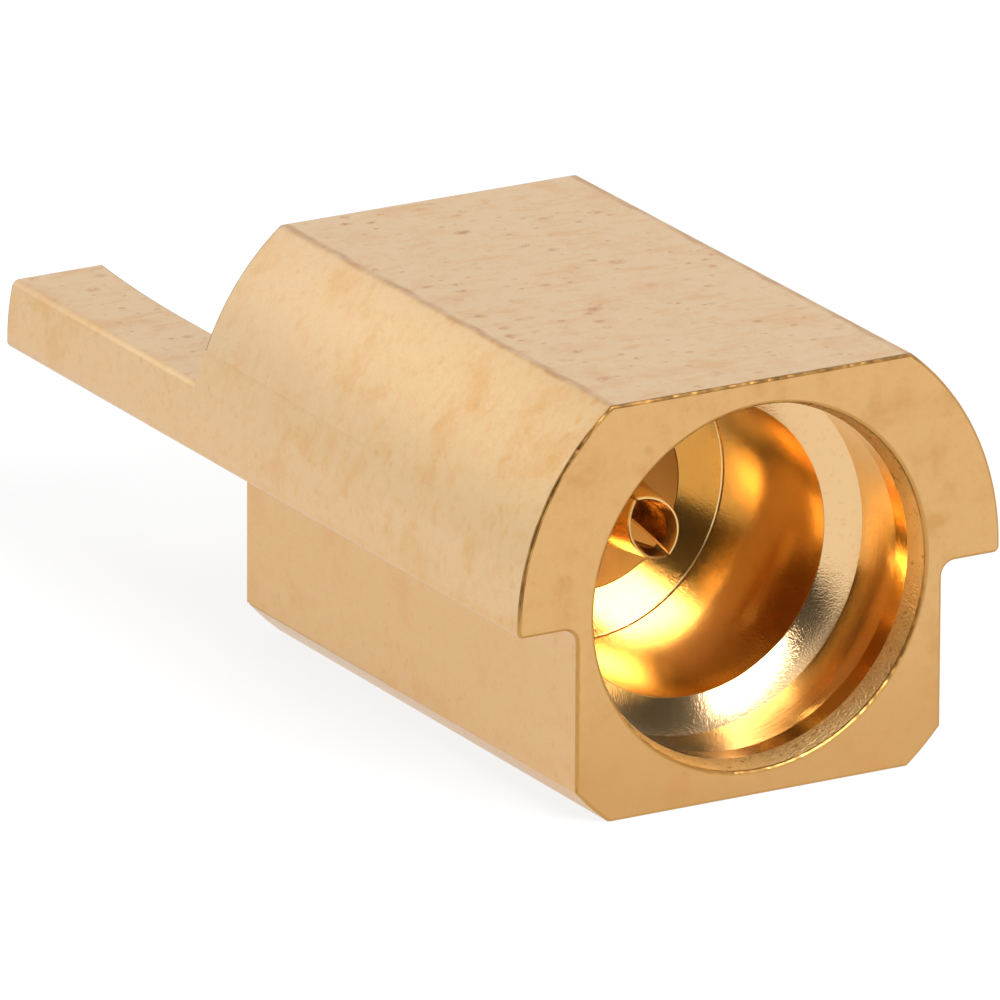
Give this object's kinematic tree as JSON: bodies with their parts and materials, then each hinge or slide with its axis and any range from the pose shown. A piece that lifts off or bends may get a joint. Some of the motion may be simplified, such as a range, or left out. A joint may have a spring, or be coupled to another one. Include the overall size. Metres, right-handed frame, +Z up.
{
  "type": "mmcx connector",
  "caption": "Gold-plated edge-mount MMCX coaxial jack: flat-topped round body with a stepped snap-in bore, side wings, rear board legs and a slotted centre socket with a solder tail.",
  "frame": {"origin": "on the bore axis, at the mating face", "axes": "+Y along the bore axis from the mating face to the legs, +Z up from the bottom flat to the top flat, +X to the right seen from the mating face"},
  "size_m": [0.0044, 0.0083, 0.0034],
  "materials": {
    "body_plating": "satin gold plating",
    "bead_plastic": "matte orange-brown plastic",
    "contact_plating": "bright gold plating"
  },
  "bodies": {
    "root": {"body": "body_plating", "insulator": "bead_plastic", "centre_contact": "contact_plating"}
  },
  "joints": []
}
